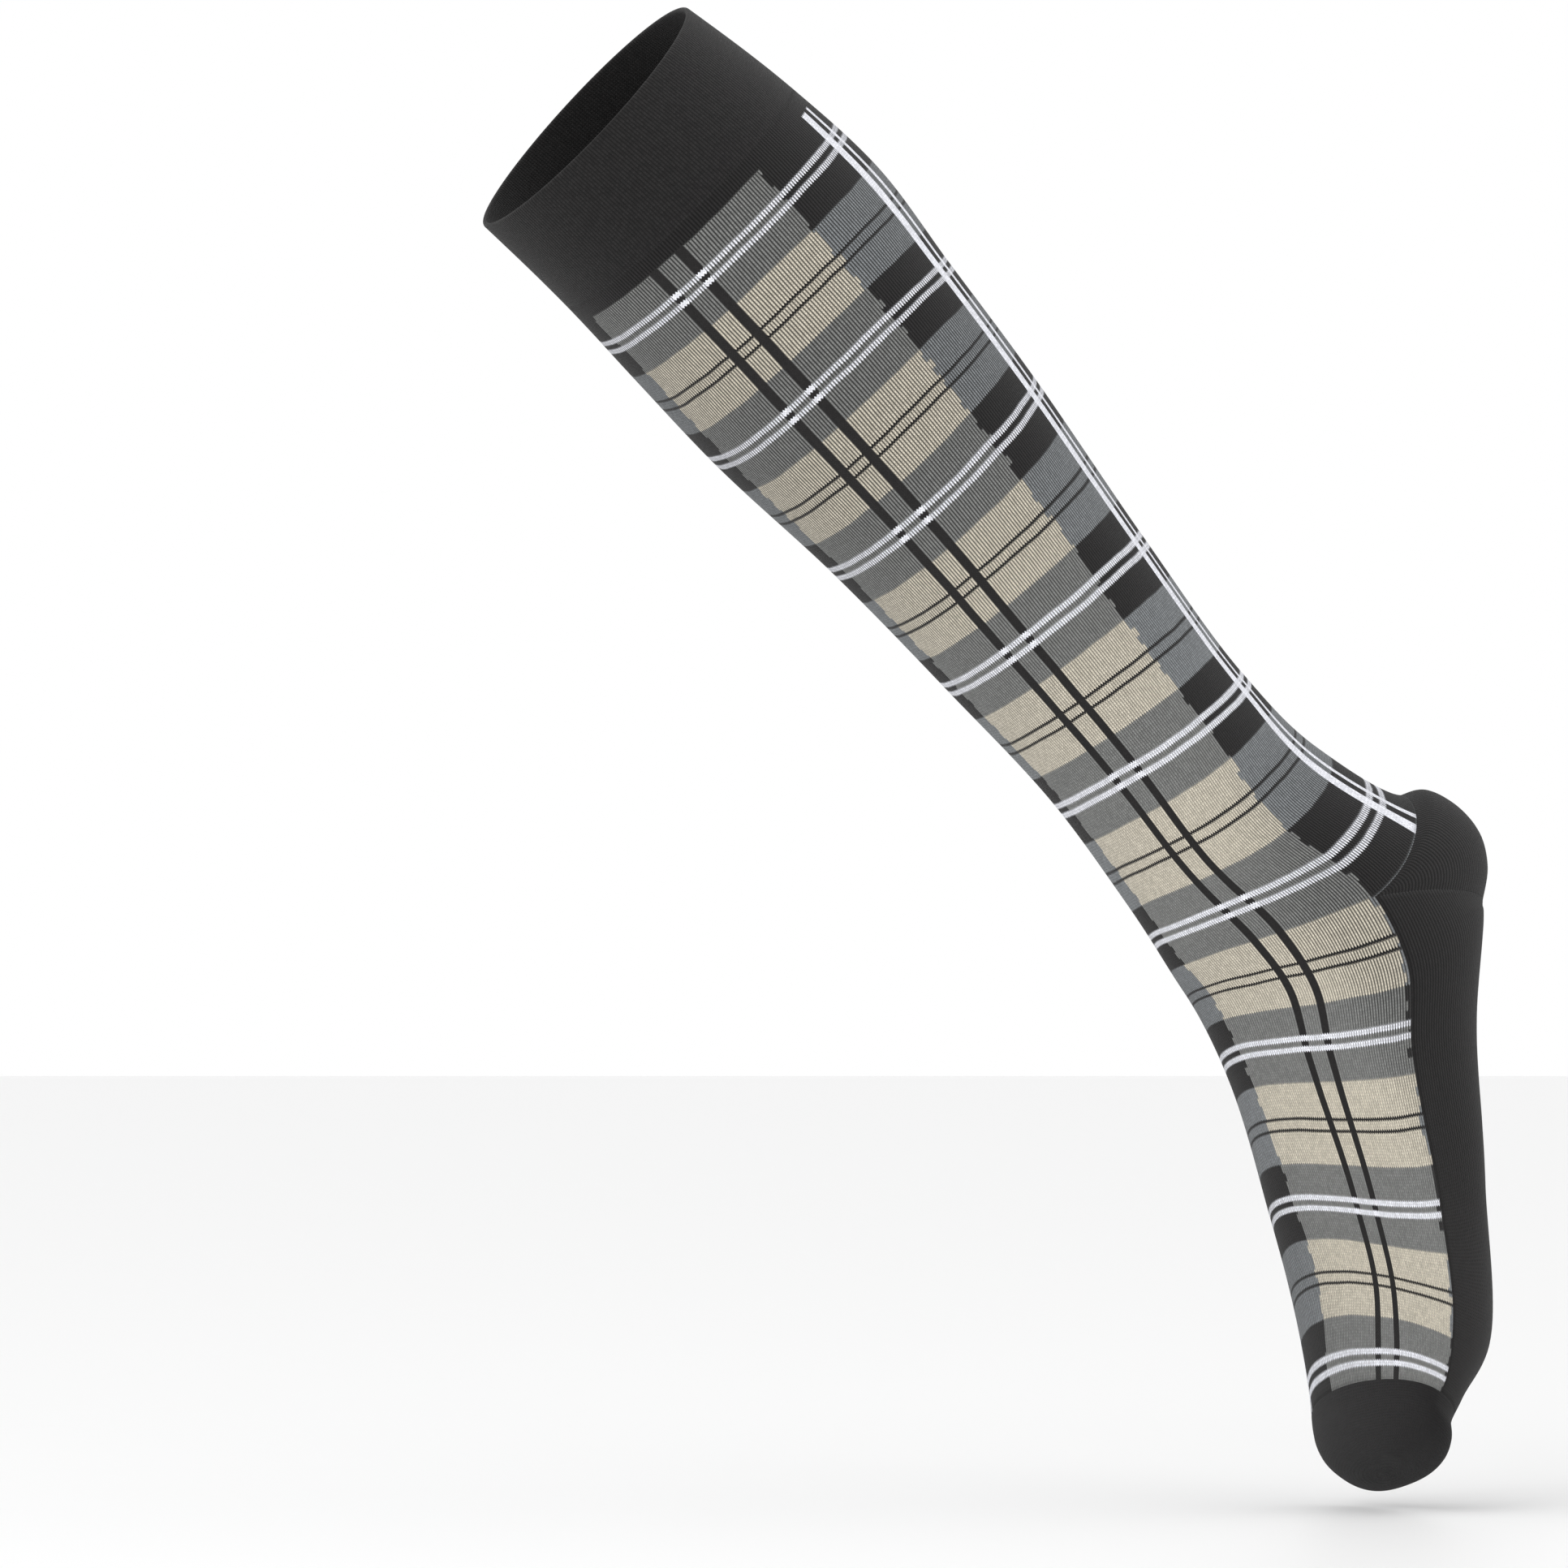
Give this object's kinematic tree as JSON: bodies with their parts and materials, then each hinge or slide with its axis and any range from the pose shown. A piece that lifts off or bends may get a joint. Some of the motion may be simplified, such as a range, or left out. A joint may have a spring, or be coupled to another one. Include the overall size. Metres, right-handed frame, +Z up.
{
  "type": "knee sock",
  "caption": "Plaid knee-high sock in its worn shape, on tiptoe, with a plain ribbed cuff, a turned heel pocket, a plain sole strip and a seamed toe.",
  "frame": {"origin": "centre of the cuff opening, where the leg goes in", "axes": "+Z up, from the toe to the cuff; +Y away from the viewer of the sock's outer side; +X from the shin side to the heel side"},
  "size_m": [0.3634, 0.1667, 0.5314],
  "materials": {
    "cuff_knit": "matte black rib knit",
    "plaid_knit": "matte plain knit in a plaid of grey, beige, black and white",
    "heel_knit": "matte black plain knit",
    "sole_knit": "matte black plain knit",
    "toe_knit": "matte black plain knit"
  },
  "bodies": {
    "root": {"cuff": "cuff_knit", "leg": "plaid_knit", "ankle": "plaid_knit", "instep": "plaid_knit", "heel": "heel_knit", "sole": "sole_knit", "toe": "toe_knit"}
  },
  "joints": []
}
